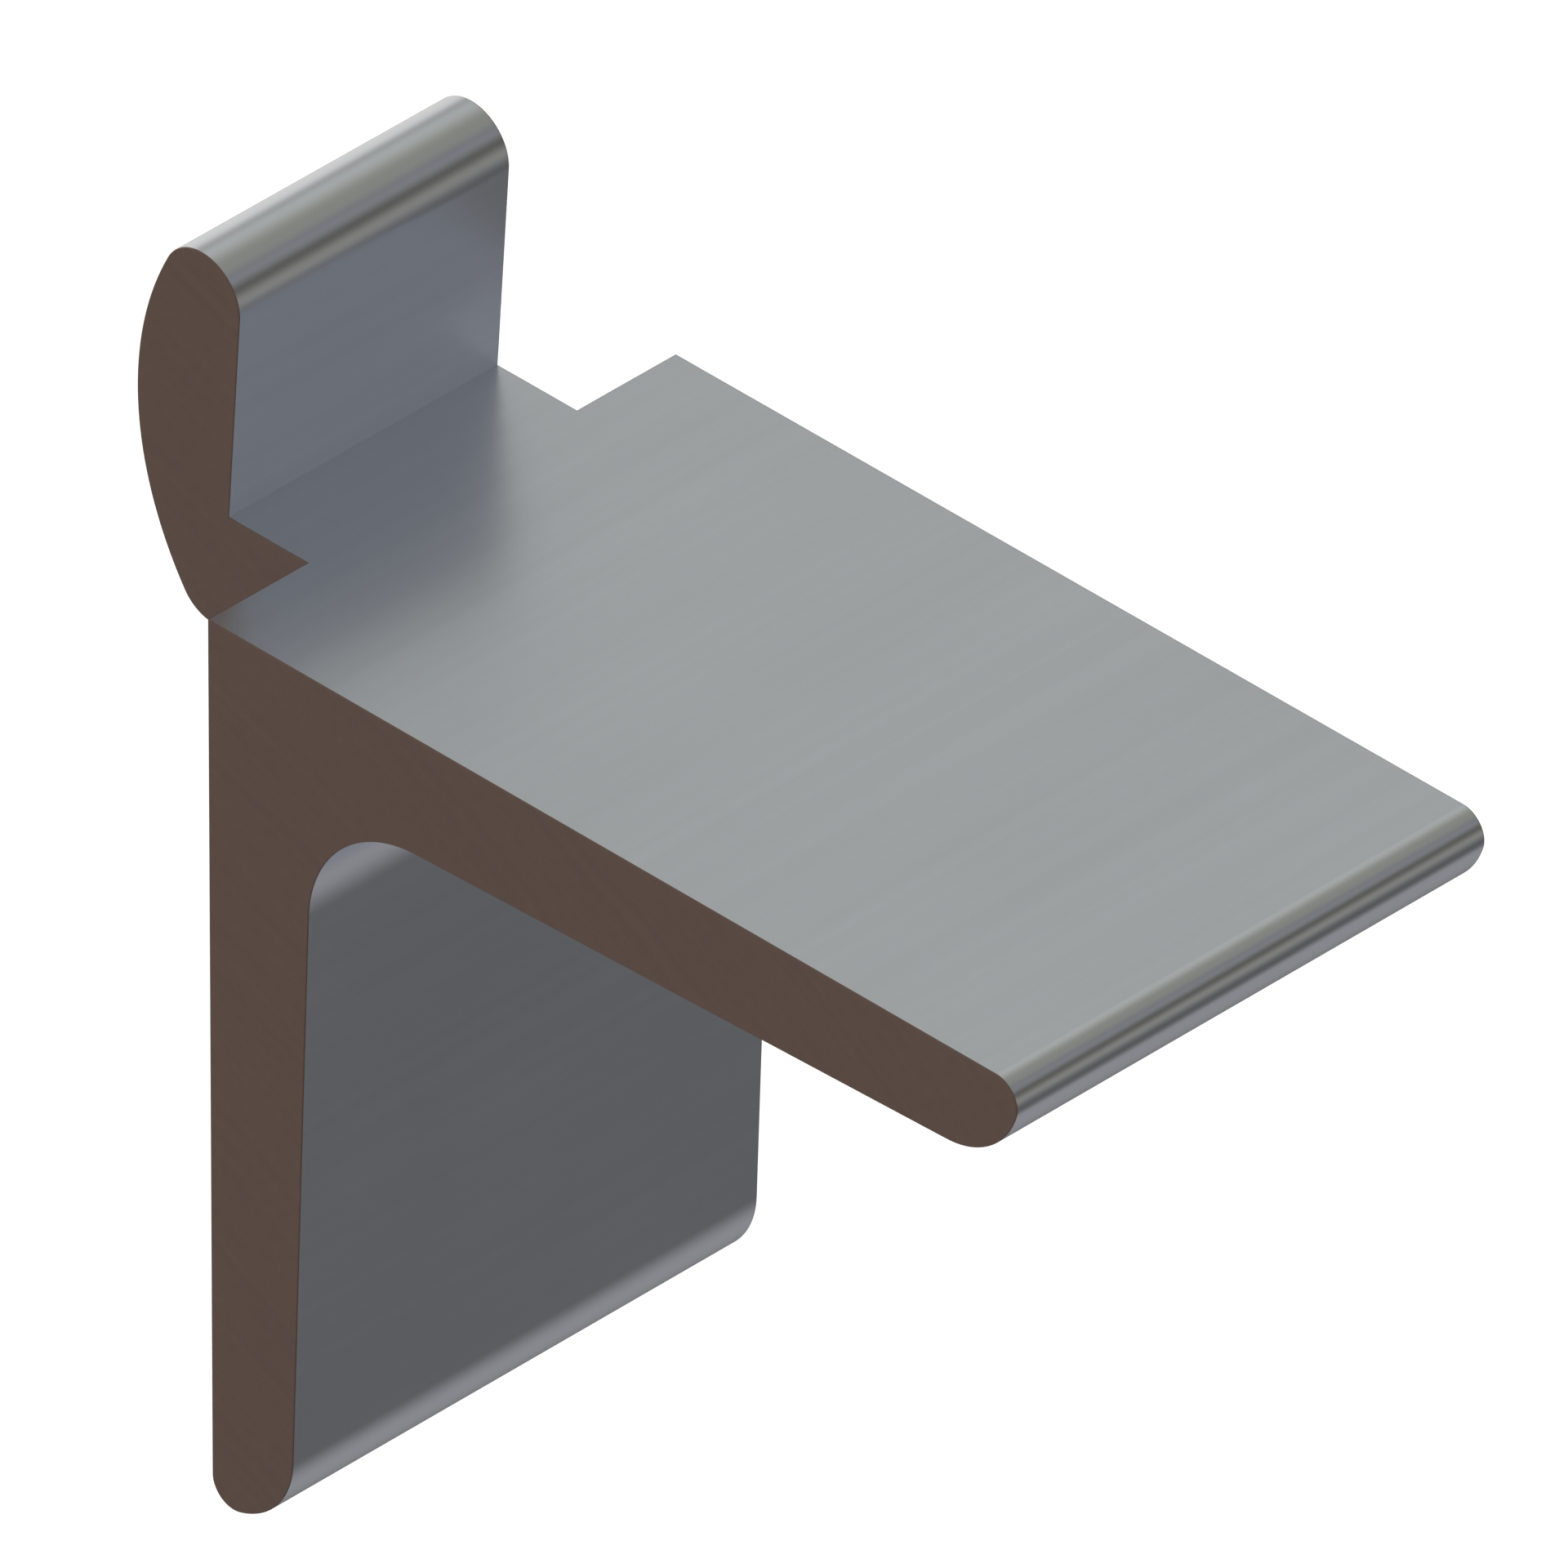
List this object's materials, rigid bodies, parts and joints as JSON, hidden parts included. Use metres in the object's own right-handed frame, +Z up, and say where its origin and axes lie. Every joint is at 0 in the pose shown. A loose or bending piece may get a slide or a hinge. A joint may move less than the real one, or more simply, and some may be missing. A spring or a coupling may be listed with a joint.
{
  "type": "shelf bracket",
  "caption": "L-shaped clip-in shelf bracket: tapered arm and leg with a rounded inner corner, and a narrower upturned hook that goes through a slot in a wall panel.",
  "frame": {"origin": "on the line where the wall panel's front face meets the shelf's seat, at the bracket's mid-width", "axes": "+X out of the wall along the arm, +Y across the bracket's width, +Z up, the way the hook's blade points"},
  "size_m": [0.0363, 0.0174, 0.0363],
  "materials": {
    "aluminium": "satin extruded faces, darker sawn ends"
  },
  "bodies": {
    "root": {"bracket": "aluminium"}
  },
  "joints": []
}
